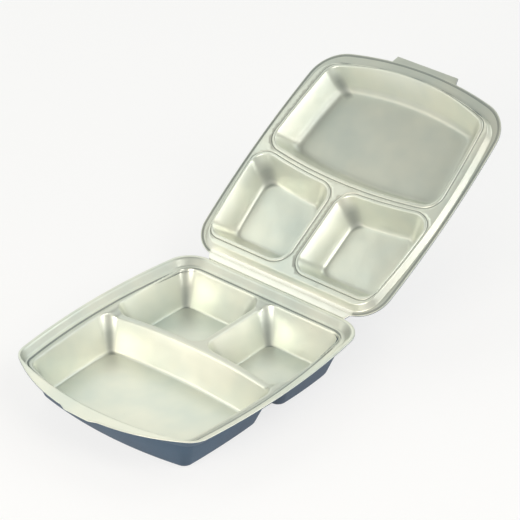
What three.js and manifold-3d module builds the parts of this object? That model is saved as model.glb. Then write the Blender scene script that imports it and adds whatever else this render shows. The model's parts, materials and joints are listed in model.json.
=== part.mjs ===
// A hinged foam meal box with three compartments, standing open.
// Millimetres, +Z up, +Y from the front lip towards the hinge, X along the hinge. The origin is on
// the underside, at the middle of the large compartment.
//
// Base and lid are trays pressed from one thin sheet and folded along a crease. Each is worked out
// in a tray frame of its own: x across, v the distance from the crease, h the height above the
// plane of its flange. Both trays face up in that frame, as when the box lies flat open.
import * as THREE from 'three';
import Module from 'manifold-3d';

const wasm = await Module();
wasm.setup();

// ---- overall sizes ----
const boxWidth = 212;            // across the base lip where its bowed sides are fullest
const boxDepth = 241.7;          // crease to the middle of the base lip's front edge
const baseHeight = 39;           // underside to lip
const lidAngle = 31.65;          // rise of the open lid's plane above the level, degrees

// ---- sheet ----
const baseSheet = 2.8;           // floors and cup walls of the base
const rimSheet = 1.8;            // lip, rim wall and ledge of the base
const lidSheet = 1.7;            // the lid all over
const creaseGap = 0.3;           // each tray ends this far from the crease's axis
const closingGap = 0.2;          // between lip and flange when shut

// ---- base: lip, rim wall and ledge ----
const sideTaper = 1.5;           // each side leans in by this much towards the crease
const lipSideBow = 8.8;
const lipFrontBow = 31.8;
const lipBackRadius = 25.2;
const lipFrontRadius = 20;
const lipWidth = 3;              // flat of the lip at the sides and the crease
const lipFrontWidth = 12.7;      // at the middle of the front
const rimFrontBow = 16.5;
const rimBackRadius = 22.2;
const rimFrontRadius = 18;
const rimDepth = 5.7;            // lip down to the ledge
const rimSideDraft = 4;          // how far the rim wall leans in over its depth
const rimBackDraft = 5;
const rimFrontDraft = 1.5;

// ---- base: compartments at the ledge; setbacks are from the widest part of the lip ----
const largeRearSetback = 15.2;
const largeFrontSetback = 22.2;
const largeFrontInset = 16.2;    // its front edge in from the lip's
const smallRearSetback = 19;
const smallFrontSetback = 15.3;
const smallRearPlace = 14;       // crease to the rear edge of the small compartments
const cupSideBow = 1.2;
const dividerPlace = 97.7;       // crease to the divider's rear edge, at the middle
const dividerWidth = 2.5;
const dividerRadius = 425;       // in plan
const ridgeWidth = 1.8;          // between the two small compartments
const dividerDepth = 9;          // lip down to the crests of divider and ridge
const saddleClimb = 4;           // length of the slopes by which the crests climb to the ledge
const saddleReach = 16;          // how far the dip over the crests runs into the large compartment
const cupRadius = 13;

// ---- base: how far each wall leans in on its way to the floor ----
const largeSideDraft = 12.5;
const largeCornerDraft = 7.5;    // sides of the large cup at their front end
const largeFrontDraft = 16.7;
const largeFloorBow = 8;
const smallRearDraft = 13.4;
const smallSideDraft = 12.8;
const smallCornerDraft = 10;     // sides of the small cups at their rear end
const dividerFrontDraft = 16.3;
const dividerRearDraft = 15;
const ridgeDraft = 15.3;
const dividerFootRadius = 650;   // in plan, where the divider meets the large floor
const cupFloorRadius = 5.5;
const shoulderRadius = 3.5;
const filletRadius = 3;
const footBevel = 0.7;

// ---- lid: flange and plinth ----
const flangeSetback = 1.15;      // flange short of the base lip, at each side
const flangeFrontSetback = 2.6;
const flangeTaper = 0.45;
const flangeSideBow = 5.5;
const flangeFrontBow = 15.9;
const flangeBackRadius = 29.2;
const flangeFrontRadius = 34.9;
const stripWidth = 4.5;          // crease strip between the axis and the flange
const stripHalfLength = 78;
const ledgeClearance = 0.7;      // plinth's top short of the base's ledge when shut
const plinthHeight = rimDepth - ledgeClearance;
const plinthSideClearance = 1.8; // plinth's foot inside the base's rim when shut
const plinthFrontClearance = 0.8;
const plinthBackClearance = 5.6;
const plinthSideDraft = 3;
const plinthFrontDraft = 1.3;
const plinthBackDraft = 4;
const plinthBackRadius = 20;
const plinthFrontRadius = 24;

// ---- lid: compartments ----
const lidCupDepth = 22;
const lidLargeRearSetback = 16.5;
const lidLargeFrontSetback = 23.5;
const lidLargeFrontInset = 16.4;
const lidSmallRearSetback = 17.8;
const lidSmallFrontSetback = 11.9;
const lidSmallRearPlace = 21;
const lidSideBow = 1;
const lidFloorBow = 7.5;         // how far the large floor's front edge bows
const lidDividerShift = 4.5;     // lid's divider further from the crease than the base's
const lidDividerPlace = dividerPlace + lidDividerShift;
const lidDividerWidth = 10.1;
const lidDividerRadius = 450;
const lidRidgeWidth = 12;
const lidSideDraft = 11.5;
const lidFrontDraft = 15;
const lidRearDraft = 12;
const lidDividerDraft = 12.5;
const lidCupRadius = 14;
const lidFloorRadius = 9;
const beadWidth = 3.6;           // raised line around each lid compartment
const beadHeight = 0.5;

// ---- tabs ----
const baseTabHalfWidth = 11;     // at its straight outer edge
const baseTabReach = 2;
const baseTabSlope = 2.6;        // how far its sides run out for each millimetre back
const lidTabHalfWidth = 32.5;
const lidTabReach = 4.5;
const lidTabSlope = 0.26;
const tabRoot = 12;              // how far a tab runs back under the lip
const tabRadius = 2;

// ---- facets ----
const sideSteps = 6;
const cornerSteps = 5;
const roundSteps = 2;
const straightBow = 0.0001;

// Plan shapes are four corners, anticlockwise, with a rise for each side (positive outwards) and a
// radius for each corner. Side i runs from corner i to the next: rear, right, front, left.

// A shape that is the same on both sides of the middle.
function symmetricShape({ backHalf, frontHalf, back, front, backBow = 0, sideBow, frontBow, radii }) {
  return {
    corners: [[-backHalf, back], [backHalf, back], [frontHalf, front], [-frontHalf, front]],
    bows: [backBow, sideBow, frontBow, sideBow],
    radii: [radii[0], radii[0], radii[1], radii[1]],
  };
}

// Moves each side out by its own distance; corners slide to where the moved sides meet.
function offsetShape(shape, [rear, right, front, left], radiusChange = 0) {
  const distances = [rear, right, front, left];
  const normals = shape.corners.map((from, i) => {
    const to = shape.corners[(i + 1) % 4];
    return new THREE.Vector2(to[1] - from[1], from[0] - to[0]).normalize();
  });
  const corners = shape.corners.map(([x, v], i) => {
    const before = (i + 3) % 4;
    const [a, b] = [normals[before], normals[i]];
    const [p, q] = [distances[before], distances[i]];
    const cross = a.x * b.y - a.y * b.x;
    return [x + (p * b.y - q * a.y) / cross, v + (q * a.x - p * b.x) / cross];
  });
  const radii = shape.radii.map((radius) => Math.max(0.5, radius + radiusChange));
  return { corners, bows: shape.bows, radii };
}

function growShape(shape, distance) {
  return offsetShape(shape, [distance, distance, distance, distance], distance);
}

// The shape a share t of the way from one shape to another; t may lie a little outside 0 to 1.
function blendShapes(from, to, t) {
  const mix = (a, b) => a + (b - a) * t;
  return {
    corners: from.corners.map(([x, v], i) => [mix(x, to.corners[i][0]), mix(v, to.corners[i][1])]),
    bows: from.bows.map((bow, i) => mix(bow, to.bows[i])),
    radii: from.radii.map((radius, i) => Math.max(0.5, mix(radius, to.radii[i]))),
  };
}

// The same shape on the other side of the middle.
function mirrorShape({ corners, bows, radii }) {
  return {
    corners: [1, 0, 3, 2].map((i) => [-corners[i][0], corners[i][1]]),
    bows: [bows[0], bows[3], bows[2], bows[1]],
    radii: [1, 0, 3, 2].map((i) => radii[i]),
  };
}

// The circle that a bowed side is part of; a straight side takes a circle too large to notice.
function sideCircle(from, to, bow) {
  const rise = bow === 0 ? straightBow : bow;
  const chord = to.clone().sub(from);
  const half = chord.length() / 2;
  const radius = (half * half + rise * rise) / (2 * Math.abs(rise));
  const outward = new THREE.Vector2(chord.y, -chord.x).normalize();
  const shift = (radius - Math.abs(rise)) * Math.sign(rise);
  const centre = from.clone().add(to).multiplyScalar(0.5).addScaledVector(outward, -shift);
  return { centre, radius, turn: Math.sign(rise) };
}

// The centre of a corner's round, which touches both side circles from inside the shape.
function roundCentre(corner, first, second, radius) {
  const firstReach = first.radius - first.turn * radius;
  const secondReach = second.radius - second.turn * radius;
  const across = second.centre.clone().sub(first.centre);
  const distance = across.length();
  across.divideScalar(distance);
  const along = (firstReach ** 2 - secondReach ** 2 + distance ** 2) / (2 * distance);
  const aside = Math.sqrt(Math.max(0, firstReach ** 2 - along ** 2));
  const middle = first.centre.clone().addScaledVector(across, along);
  const normal = new THREE.Vector2(-across.y, across.x);
  const centres = [aside, -aside].map((step) => middle.clone().addScaledVector(normal, step));
  centres.sort((a, b) => a.distanceTo(corner) - b.distanceTo(corner));
  return centres[0];
}

// Points of an arc from one point to another about a centre, without the last point.
function arcPoints(centre, from, to, clockwise, steps) {
  const start = Math.atan2(from.y - centre.y, from.x - centre.x);
  const end = Math.atan2(to.y - centre.y, to.x - centre.x);
  const radius = from.distanceTo(centre);
  const arc = new THREE.ArcCurve(centre.x, centre.y, radius, start, end, clockwise);
  return arc.getPoints(steps).slice(0, -1);
}

// The outline of a plan shape: every shape gives the same number of points in the same order.
function outlinePoints({ corners, bows, radii }) {
  const points = corners.map(([x, v]) => new THREE.Vector2(x, v));
  const circles = points.map((from, i) => sideCircle(from, points[(i + 1) % 4], bows[i]));
  const rounds = points.map((corner, i) => {
    const [first, second] = [circles[(i + 3) % 4], circles[i]];
    const centre = roundCentre(corner, first, second, radii[i]);
    const [start, end] = [first, second].map((circle) => {
      const direction = centre.clone().sub(circle.centre).normalize();
      return circle.centre.clone().addScaledVector(direction, circle.radius);
    });
    return { centre, start, end };
  });
  return rounds.flatMap(({ centre, start, end }, i) => {
    const next = rounds[(i + 1) % 4];
    const { centre: sideCentre, turn } = circles[i];
    const side = bows[i] === 0 ? [end] : arcPoints(sideCentre, end, next.start, turn < 0, sideSteps);
    return [...arcPoints(centre, start, end, false, cornerSteps), ...side];
  });
}

// A closed solid through a stack of plan shapes, lowest first.
function loft(layers) {
  const rings = layers.map(({ shape, h }) => outlinePoints(shape).map(({ x, y }) => [x, y, h]));
  const count = rings[0].length;
  const triangles = [];
  for (let layer = 0; layer + 1 < rings.length; layer += 1) {
    for (let i = 0; i < count; i += 1) {
      const [a, b] = [layer * count + i, layer * count + ((i + 1) % count)];
      triangles.push(a, b, b + count, a, b + count, a + count);
    }
  }
  const top = (rings.length - 1) * count;
  const flat = (ring) => ring.map(([x, v]) => new THREE.Vector2(x, v));
  const cap = (ring) => THREE.ShapeUtils.triangulateShape(flat(ring), []);
  cap(rings[0]).forEach(([a, b, c]) => triangles.push(c, b, a));
  cap(rings[rings.length - 1]).forEach(([a, b, c]) => triangles.push(top + a, top + b, top + c));
  const vertProperties = new Float32Array(rings.flat(2));
  const triVerts = new Uint32Array(triangles);
  return new wasm.Manifold(new wasm.Mesh({ numProp: 3, vertProperties, triVerts }));
}

function plate(shape, low, high) {
  return loft([{ shape, h: low }, { shape, h: high }]);
}

function unite(solids) {
  return solids.reduce((whole, solid) => whole.add(solid));
}

function cut(solid, tools) {
  return tools.reduce((whole, tool) => whole.subtract(tool), solid);
}

// A profile of straight lines whose inner corners are rounded; t runs from edge to floor.
function roundedProfile(points, radii) {
  const inner = points.slice(1, -1).flatMap((corner, i) => {
    const before = points[i].clone().sub(corner).normalize();
    const after = points[i + 2].clone().sub(corner).normalize();
    const halfAngle = Math.acos(before.dot(after)) / 2;
    const start = corner.clone().addScaledVector(before, radii[i] / Math.tan(halfAngle));
    const end = corner.clone().addScaledVector(after, radii[i] / Math.tan(halfAngle));
    const bisector = before.add(after).normalize();
    const centre = corner.clone().addScaledVector(bisector, radii[i] / Math.sin(halfAngle));
    const turn = (start.x - centre.x) * (end.y - centre.y) - (start.y - centre.y) * (end.x - centre.x);
    return [...arcPoints(centre, start, end, turn < 0, roundSteps), end];
  });
  return inner;
}

// The hollow of a cup: a rounded shoulder at the edge, a drafted wall and a fillet at the floor.
function cupHollow({ edge, floor, draft, top, bottom }) {
  const beyond = draft * 3;
  const profile = roundedProfile([
    new THREE.Vector2(-beyond, top),
    new THREE.Vector2(0, top),
    new THREE.Vector2(draft, bottom),
    new THREE.Vector2(draft + beyond, bottom),
  ], [shoulderRadius, filletRadius]);
  const layers = profile.map(({ x, y }) => ({ shape: blendShapes(edge, floor, x / draft), h: y }));
  const clear = { shape: layers[0].shape, h: top + plinthHeight };
  return loft([...layers.reverse(), clear]);
}

// The outside of a cup, one sheet away from its hollow.
function cupOutside({ edge, floor, draft, top, bottom }, sheet) {
  const slant = Math.hypot(draft, top - bottom) / (top - bottom);
  const lean = draft / (top - bottom);
  const wall = sheet * slant;
  return loft([
    { shape: growShape(floor, wall - lean * sheet - footBevel), h: bottom - sheet },
    { shape: growShape(floor, wall - lean * sheet + lean * footBevel), h: bottom - sheet + footBevel },
    { shape: growShape(edge, wall - lean * sheet), h: top - sheet },
    { shape: growShape(edge, wall - lean * sheet), h: top - sheet / 2 },
  ]);
}

// The divider is an arc about a point in front of the tray, so its middle lies nearest the crease.
// This is how much further from the crease it is at a distance x to the side.
function arcRise(x, radius) {
  return (x * x) / (2 * radius);
}

// The large compartment's outline at one level.
function largeOutline({ rearHalf, frontHalf, rear, front, sideBow, frontBow, radius, arcRadius }) {
  const rise = arcRise(rearHalf, arcRadius);
  return symmetricShape({
    backHalf: rearHalf,
    frontHalf,
    back: rear + rise,
    front: front - frontBow,
    backBow: rise,
    sideBow,
    frontBow,
    radii: [radius, radius],
  });
}

// The right small compartment's outline at one level.
function smallOutline({ inner, rearHalf, frontHalf, rear, front, sideBow, radius, arcRadius }) {
  const corners = [
    [inner, rear],
    [rearHalf, rear],
    [frontHalf, front + arcRise(frontHalf, arcRadius)],
    [inner, front + arcRise(inner, arcRadius)],
  ];
  const hollow = arcRise((frontHalf - inner) / 2, arcRadius);
  return { corners, bows: [0, sideBow, -hollow, 0], radii: corners.map(() => radius) };
}

// A tray's three compartments: the outlines at the edge, and how far each wall leans in below.
function compartments({ large, small, drafts, floorRadius, floorBow, floorArc, top, bottom }) {
  const largeFloor = {
    ...large,
    rearHalf: large.rearHalf - drafts.largeSide,
    frontHalf: large.frontHalf - drafts.largeCorner,
    rear: large.rear + drafts.dividerFront,
    front: large.front - drafts.largeFront,
    frontBow: floorBow,
    radius: floorRadius,
    arcRadius: floorArc,
  };
  const smallFloor = {
    ...small,
    inner: small.inner + drafts.ridge,
    rearHalf: small.rearHalf - drafts.smallCorner,
    frontHalf: small.frontHalf - drafts.smallSide,
    rear: small.rear + drafts.smallRear,
    front: small.front - drafts.dividerRear,
    radius: floorRadius,
  };
  const cup = (edge, floor, draft) => ({ edge, floor, draft, top, bottom });
  const smallEdge = smallOutline(small);
  const smallBottom = smallOutline(smallFloor);
  return [
    cup(largeOutline(large), largeOutline(largeFloor), drafts.dividerFront),
    cup(smallEdge, smallBottom, drafts.smallRear),
    cup(mirrorShape(smallEdge), mirrorShape(smallBottom), drafts.smallRear),
  ];
}

// A tab at the middle of a tray's front edge, as a plate that starts under the flange.
function frontTab({ halfWidth, slope, reach }, edgePlace, thickness) {
  const shape = symmetricShape({
    backHalf: halfWidth + slope * (tabRoot + reach),
    frontHalf: halfWidth,
    back: edgePlace - tabRoot,
    front: edgePlace + reach,
    sideBow: 0,
    frontBow: 0,
    radii: [tabRadius, tabRadius],
  });
  return plate(shape, -thickness, 0);
}

// ---- base tray: h is 0 at the lip ----
const lipHalf = boxWidth / 2 - lipSideBow;
const lip = symmetricShape({
  backHalf: lipHalf - sideTaper,
  frontHalf: lipHalf + sideTaper,
  back: creaseGap,
  front: boxDepth - lipFrontBow,
  sideBow: lipSideBow,
  frontBow: lipFrontBow,
  radii: [lipBackRadius, lipFrontRadius],
});
const rimTop = symmetricShape({
  backHalf: lipHalf - sideTaper - lipWidth,
  frontHalf: lipHalf + sideTaper - lipWidth,
  back: creaseGap + lipWidth,
  front: boxDepth - lipFrontWidth - rimFrontBow,
  sideBow: lipSideBow,
  frontBow: rimFrontBow,
  radii: [rimBackRadius, rimFrontRadius],
});
const rimFoot = offsetShape(
  rimTop, [-rimBackDraft, -rimSideDraft, -rimFrontDraft, -rimSideDraft], -rimSideDraft,
);
const boxHalf = boxWidth / 2;
const baseCups = compartments({
  large: {
    rearHalf: boxHalf - largeRearSetback,
    frontHalf: boxHalf - largeFrontSetback,
    rear: dividerPlace + dividerWidth,
    front: boxDepth - largeFrontInset,
    sideBow: cupSideBow,
    frontBow: rimFrontBow,
    radius: cupRadius,
    arcRadius: dividerRadius,
  },
  small: {
    inner: ridgeWidth / 2,
    rearHalf: boxHalf - smallRearSetback,
    frontHalf: boxHalf - smallFrontSetback,
    rear: smallRearPlace,
    front: dividerPlace,
    sideBow: cupSideBow,
    radius: cupRadius,
    arcRadius: dividerRadius,
  },
  drafts: {
    largeSide: largeSideDraft,
    largeCorner: largeCornerDraft,
    largeFront: largeFrontDraft,
    smallRear: smallRearDraft,
    smallSide: smallSideDraft,
    smallCorner: smallCornerDraft,
    dividerFront: dividerFrontDraft,
    dividerRear: dividerRearDraft,
    ridge: ridgeDraft,
  },
  floorRadius: cupFloorRadius,
  floorBow: largeFloorBow,
  floorArc: dividerFootRadius,
  top: -rimDepth,
  bottom: baseSheet - baseHeight,
});

// The outline of the dip that lowers the divider and the ridge below the ledge. It stays inside
// the compartments' outer walls.
const saddle = symmetricShape({
  backHalf: boxHalf - smallRearSetback - cupRadius,
  frontHalf: boxHalf - smallFrontSetback - saddleClimb / 2,
  back: smallRearPlace + saddleClimb / 4,
  front: dividerPlace + arcRise(boxHalf, dividerRadius) + saddleReach,
  sideBow: 0,
  frontBow: 0,
  radii: [saddleClimb, saddleClimb],
});

const baseTab = { halfWidth: baseTabHalfWidth, slope: baseTabSlope, reach: baseTabReach };

function makeBase() {
  const rimOutside = loft([
    { shape: growShape(rimFoot, rimSheet), h: -rimDepth - rimSheet },
    { shape: growShape(rimTop, rimSheet), h: -rimSheet / 2 },
  ]);
  const rimHollow = loft([
    { shape: rimFoot, h: -rimDepth },
    { shape: rimTop, h: 0 },
    { shape: rimTop, h: rimSheet },
  ]);
  const outside = unite([
    plate(lip, -rimSheet, 0),
    frontTab(baseTab, boxDepth, rimSheet),
    rimOutside,
    plate(saddle, -dividerDepth - baseSheet, -dividerDepth + footBevel),
    ...baseCups.map((cup) => cupOutside(cup, baseSheet)),
  ]);
  const dip = loft([
    { shape: growShape(saddle, -saddleClimb), h: -dividerDepth },
    { shape: saddle, h: -rimDepth },
    { shape: saddle, h: 0 },
  ]);
  return cut(outside, [rimHollow, dip, ...baseCups.map(cupHollow)]);
}

// ---- lid tray: h is 0 at the flange ----
const flangeHalf = boxWidth / 2 - flangeSetback - flangeSideBow;
const flangeDepth = boxDepth - flangeFrontSetback;
const flange = symmetricShape({
  backHalf: flangeHalf - flangeTaper,
  frontHalf: flangeHalf + flangeTaper,
  back: stripWidth,
  front: flangeDepth - flangeFrontBow,
  sideBow: flangeSideBow,
  frontBow: flangeFrontBow,
  radii: [flangeBackRadius, flangeFrontRadius],
});
const plinthFoot = {
  ...offsetShape(
    rimTop, [-plinthBackClearance, -plinthSideClearance, -plinthFrontClearance, -plinthSideClearance],
  ),
  radii: [plinthBackRadius, plinthBackRadius, plinthFrontRadius, plinthFrontRadius],
};
const plinthTop = offsetShape(
  plinthFoot, [-plinthBackDraft, -plinthSideDraft, -plinthFrontDraft, -plinthSideDraft], -plinthSideDraft,
);
const lidCups = compartments({
  large: {
    rearHalf: boxHalf - lidLargeRearSetback,
    frontHalf: boxHalf - lidLargeFrontSetback,
    rear: lidDividerPlace + lidDividerWidth,
    front: boxDepth - lidLargeFrontInset,
    sideBow: lidSideBow,
    frontBow: rimFrontBow,
    radius: lidCupRadius,
    arcRadius: lidDividerRadius,
  },
  small: {
    inner: lidRidgeWidth / 2,
    rearHalf: boxHalf - lidSmallRearSetback,
    frontHalf: boxHalf - lidSmallFrontSetback,
    rear: lidSmallRearPlace,
    front: lidDividerPlace,
    sideBow: lidSideBow,
    radius: lidCupRadius,
    arcRadius: lidDividerRadius,
  },
  drafts: {
    largeSide: lidSideDraft,
    largeCorner: lidSideDraft,
    largeFront: lidFrontDraft,
    smallRear: lidRearDraft,
    smallSide: lidSideDraft,
    smallCorner: lidSideDraft,
    dividerFront: lidDividerDraft,
    dividerRear: lidDividerDraft,
    ridge: lidDividerDraft,
  },
  floorRadius: lidFloorRadius,
  floorBow: lidFloorBow,
  floorArc: lidDividerRadius,
  top: plinthHeight,
  bottom: plinthHeight - lidCupDepth,
});

const lidTab = { halfWidth: lidTabHalfWidth, slope: lidTabSlope, reach: lidTabReach };

function makeLid() {
  const strip = symmetricShape({
    backHalf: stripHalfLength,
    frontHalf: stripHalfLength,
    back: creaseGap,
    front: stripWidth * 2,
    sideBow: 0,
    frontBow: 0,
    radii: [1, 1],
  });
  const plinthOutside = loft([
    { shape: plinthFoot, h: -lidSheet },
    { shape: plinthFoot, h: 0 },
    { shape: plinthTop, h: plinthHeight },
  ]);
  const beads = unite(lidCups.map(({ edge }) => loft([
    { shape: growShape(edge, beadWidth), h: plinthHeight - beadHeight },
    { shape: growShape(edge, beadWidth), h: plinthHeight },
    { shape: growShape(edge, beadWidth - beadHeight * 2), h: plinthHeight + beadHeight },
  ]))).intersect(plate(plinthTop, 0, plinthHeight + beadHeight * 2));
  const cupOutsides = lidCups.map((cup) => cupOutside(cup, lidSheet));
  const underside = loft([
    { shape: growShape(plinthFoot, -lidSheet), h: -lidSheet * 2 },
    { shape: growShape(plinthFoot, -lidSheet), h: 0 },
    { shape: growShape(plinthTop, -lidSheet), h: plinthHeight - lidSheet },
  ]);
  const skin = cut(unite([
    plate(flange, -lidSheet, 0),
    plate(strip, -lidSheet, 0),
    frontTab(lidTab, flangeDepth, lidSheet),
    plinthOutside,
  ]), [cut(underside, cupOutsides)]);
  return cut(unite([skin, beads, ...cupOutsides]), lidCups.map(cupHollow));
}

// ---- scene ----
function foamMesh(name, solid, colour, roughness) {
  const { numProp, vertProperties, triVerts } = solid.getMesh();
  const geometry = new THREE.BufferGeometry();
  geometry.setAttribute('position', new THREE.BufferAttribute(new Float32Array(vertProperties), numProp));
  geometry.setIndex(new THREE.BufferAttribute(new Uint32Array(triVerts), 1));
  geometry.computeVertexNormals();
  const mesh = new THREE.Mesh(geometry, new THREE.MeshStandardMaterial({ color: colour, roughness }));
  mesh.name = name;
  return mesh;
}

// The crease lies so that the origin is under the middle of the large compartment's floor.
const [, [, largeFloorBack], [, largeFloorFront]] = baseCups[0].floor.corners;
const creasePlace = (largeFloorBack + largeFloorFront) / 2;

const baseTray = foamMesh('base_tray', makeBase(), 0xe9e7d6, 0.55);
baseTray.position.set(0, creasePlace, baseHeight);
baseTray.rotation.z = Math.PI;

const lidTray = foamMesh('lid_tray', makeLid(), 0xe3e2d2, 0.5);
lidTray.position.set(0, creasePlace, baseHeight + closingGap);
lidTray.rotation.x = THREE.MathUtils.degToRad(lidAngle);

const lunchBox = new THREE.Group();
lunchBox.add(baseTray, lidTray);
export default lunchBox;
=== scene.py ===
import json
import math

import bpy
import numpy as np
from mathutils import Matrix, Vector
from mathutils.geometry import delaunay_2d_cdt


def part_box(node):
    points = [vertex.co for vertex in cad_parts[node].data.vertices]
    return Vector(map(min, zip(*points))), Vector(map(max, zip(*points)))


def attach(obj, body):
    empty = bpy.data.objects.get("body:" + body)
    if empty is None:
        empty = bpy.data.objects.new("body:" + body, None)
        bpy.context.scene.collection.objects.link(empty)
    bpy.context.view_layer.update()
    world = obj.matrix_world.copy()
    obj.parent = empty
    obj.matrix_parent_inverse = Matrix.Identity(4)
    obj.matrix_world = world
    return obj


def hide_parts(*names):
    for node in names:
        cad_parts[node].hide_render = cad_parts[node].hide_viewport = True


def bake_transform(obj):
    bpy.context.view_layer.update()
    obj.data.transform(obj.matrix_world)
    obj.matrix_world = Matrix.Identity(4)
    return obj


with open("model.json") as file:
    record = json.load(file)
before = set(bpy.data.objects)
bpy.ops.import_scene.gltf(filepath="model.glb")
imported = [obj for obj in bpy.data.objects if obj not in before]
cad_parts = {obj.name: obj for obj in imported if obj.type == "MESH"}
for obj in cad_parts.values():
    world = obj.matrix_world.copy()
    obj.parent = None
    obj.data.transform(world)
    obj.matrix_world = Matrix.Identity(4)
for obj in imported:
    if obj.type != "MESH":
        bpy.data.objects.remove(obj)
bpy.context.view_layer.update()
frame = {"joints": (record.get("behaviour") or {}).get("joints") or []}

mm = 0.001
hinge = next(joint for joint in frame["joints"] if joint["name"] == "lid_hinge")
creaseY, creaseZ = hinge["pos_m"][1], hinge["pos_m"][2]
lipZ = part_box("base_tray")[1].z
openAngle = math.radians(-hinge["range_deg"][0])  # lid above the level
print(f"frame loaded: crease at y {creaseY:.4f}, lip at z {lipZ:.4f}")

# Each tray is worked out in millimetres in its own frame: x across, v away from the crease, h up from
# the lip or the flange. A plan shape is four corners anticlockwise, with a rise for each side and a
# radius for each corner. Side i runs from corner i to the next: rear, right, front, left.
leastRadius = 0.5
leastRise = 1e-3  # a straight side is drawn as an arc of this rise
cornerFade = {"ends": 0.25, "reach": 4}  # cornerness where a corner's arc ends, and how far it runs on
trimLimit = 0.49  # a rounding takes at most this share of a profile's straight part


# four corners mirrored about x = 0: half the width at the rear and at the front, by rear and front v
def evenShape(rearHalf, frontHalf, rear, front, rearBow, sideBow, frontBow, radii):
    corners = [(-rearHalf, rear), (rearHalf, rear), (frontHalf, front), (-frontHalf, front)]
    return {"corners": np.array(corners, float), "bows": (rearBow, sideBow, frontBow, sideBow),
            "radii": (radii[0], radii[0], radii[1], radii[1])}


# Each side moves in along its normal by its own inset. A corner's move is the one whose parts along
# the normals of its two sides are those sides' insets.
def insetShape(shape, insets, radiusCut):
    corners = shape["corners"]
    along = np.roll(corners, -1, 0) - corners
    normal = np.stack([along[:, 1], -along[:, 0]], 1)
    normal /= np.linalg.norm(normal, axis=1)[:, None]
    before, move = np.roll(normal, 1, 0), -np.array(insets, float)
    moveBefore = np.roll(move, 1)
    cross = before[:, 0] * normal[:, 1] - before[:, 1] * normal[:, 0]
    moveX = (moveBefore * normal[:, 1] - move * before[:, 1]) / cross
    moveV = (move * before[:, 0] - moveBefore * normal[:, 0]) / cross
    return {"corners": corners + np.stack([moveX, moveV], 1), "bows": shape["bows"],
            "radii": tuple(max(leastRadius, r - radiusCut) for r in shape["radii"])}


# Every side is an arc of the circle through its two corners with the given rise: radius =
# (half^2 + rise^2) / (2 rise). Every corner is a smaller circle that touches both arcs: its centre is
# where circles about their centres cross, of their radii less the corner's. Returns the closed run of
# points, each corner's arc before the side that follows it, and how far each point is into a corner:
# a sine over the corner's arc, 1 at its middle, which dies away along the sides.
def outline(shape, shares, cornerSteps):
    corners, bows, radii = shape["corners"], shape["bows"], shape["radii"]
    circles = []
    for i in range(4):
        a, b = corners[i], corners[(i + 1) % 4]
        rise = bows[i] if abs(bows[i]) > leastRise else leastRise
        half = np.linalg.norm(b - a) / 2
        radius = (half * half + rise * rise) / (2 * abs(rise))
        out = np.array([b[1] - a[1], a[0] - b[0]]) / (2 * half)
        circles.append(((a + b) / 2 - out * (radius - abs(rise)) * np.sign(rise), radius, np.sign(rise)))
    rounds = []
    for i in range(4):
        (c1, r1, s1), (c2, r2, s2) = circles[i - 1], circles[i]
        reach1, reach2 = r1 - s1 * radii[i], r2 - s2 * radii[i]
        gap = np.linalg.norm(c2 - c1)
        across = (c2 - c1) / gap
        forward = (reach1 ** 2 - reach2 ** 2 + gap ** 2) / (2 * gap)
        aside = math.sqrt(max(0.0, reach1 ** 2 - forward ** 2)) * np.array([-across[1], across[0]])
        middle = c1 + across * forward
        centre = min((middle + aside, middle - aside), key=lambda p: np.linalg.norm(p - corners[i]))
        touch = [c + (centre - c) / np.linalg.norm(centre - c) * r for c, r in ((c1, r1), (c2, r2))]
        rounds.append((centre, touch[0], touch[1]))
    turn = np.linspace(0, 1, cornerSteps + 1)
    ends = cornerFade["ends"]
    points, cornerness = [], []
    for i in range(4):
        centre, start, end = rounds[i]
        a0 = math.atan2(*(start - centre)[::-1])
        sweep = (math.atan2(*(end - centre)[::-1]) - a0) % (2 * math.pi)
        angle = a0 + sweep * turn
        points.append(centre + radii[i] * np.stack([np.cos(angle), np.sin(angle)], 1))
        cornerness.append(np.sin(math.pi * turn) * (1 - ends) + ends)
        c, r, _ = circles[i]
        nextStart = rounds[(i + 1) % 4][1]
        a0 = math.atan2(*(end - c)[::-1])
        sweep = (math.atan2(*(nextStart - c)[::-1]) - a0 + math.pi) % (2 * math.pi) - math.pi
        angle = a0 + sweep * shares[i]
        points.append(c + r * np.stack([np.cos(angle), np.sin(angle)], 1))
        length = np.linalg.norm(nextStart - end)
        nearest = np.minimum(shares[i], 1 - shares[i]) * length
        cornerness.append(ends * np.exp(-nearest / cornerFade["reach"]))
    return np.concatenate(points), np.concatenate(cornerness)


# shares of a side at equal steps, without its ends
def evenShares(count):
    return np.linspace(0, 1, count + 2)[1:-1]


# Stations are closed runs of points in space. Each inner station is a corner of the profile; it is
# rounded by the curve (1-t)^2 A + 2t(1-t) S + t^2 B, with A and B on the straight parts either side,
# as far from S as its two trims say.
def roundedRows(stations, trims, steps):
    rows = [stations[0]]
    for i in range(1, len(stations) - 1):
        here, before, after = stations[i], stations[i - 1], stations[i + 1]
        toBefore, toAfter = before - here, after - here
        lengthBefore = np.linalg.norm(toBefore, axis=1)[:, None] + 1e-9
        lengthAfter = np.linalg.norm(toAfter, axis=1)[:, None] + 1e-9
        a = here + toBefore * np.minimum(trims[i - 1][0] / lengthBefore, trimLimit)
        b = here + toAfter * np.minimum(trims[i - 1][1] / lengthAfter, trimLimit)
        for t in np.linspace(0, 1, steps + 1):
            rows.append((1 - t) ** 2 * a + 2 * t * (1 - t) * here + t * t * b)
    rows.append(stations[-1])
    return rows


# one tone for each row: each of the tones is repeated for its number of rows
def rowTones(counts, tones):
    return [tone for count, tone in zip(counts, tones) for _ in range(count)]


# plan points with one height, or a height each
def lift(points, height):
    return np.column_stack([points, np.broadcast_to(height, len(points))])


# extra rows between two rows, by straight lines
def between(first, last, count):
    return [first + (last - first) * s for s in np.linspace(0, 1, count + 2)[1:-1]]


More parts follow.
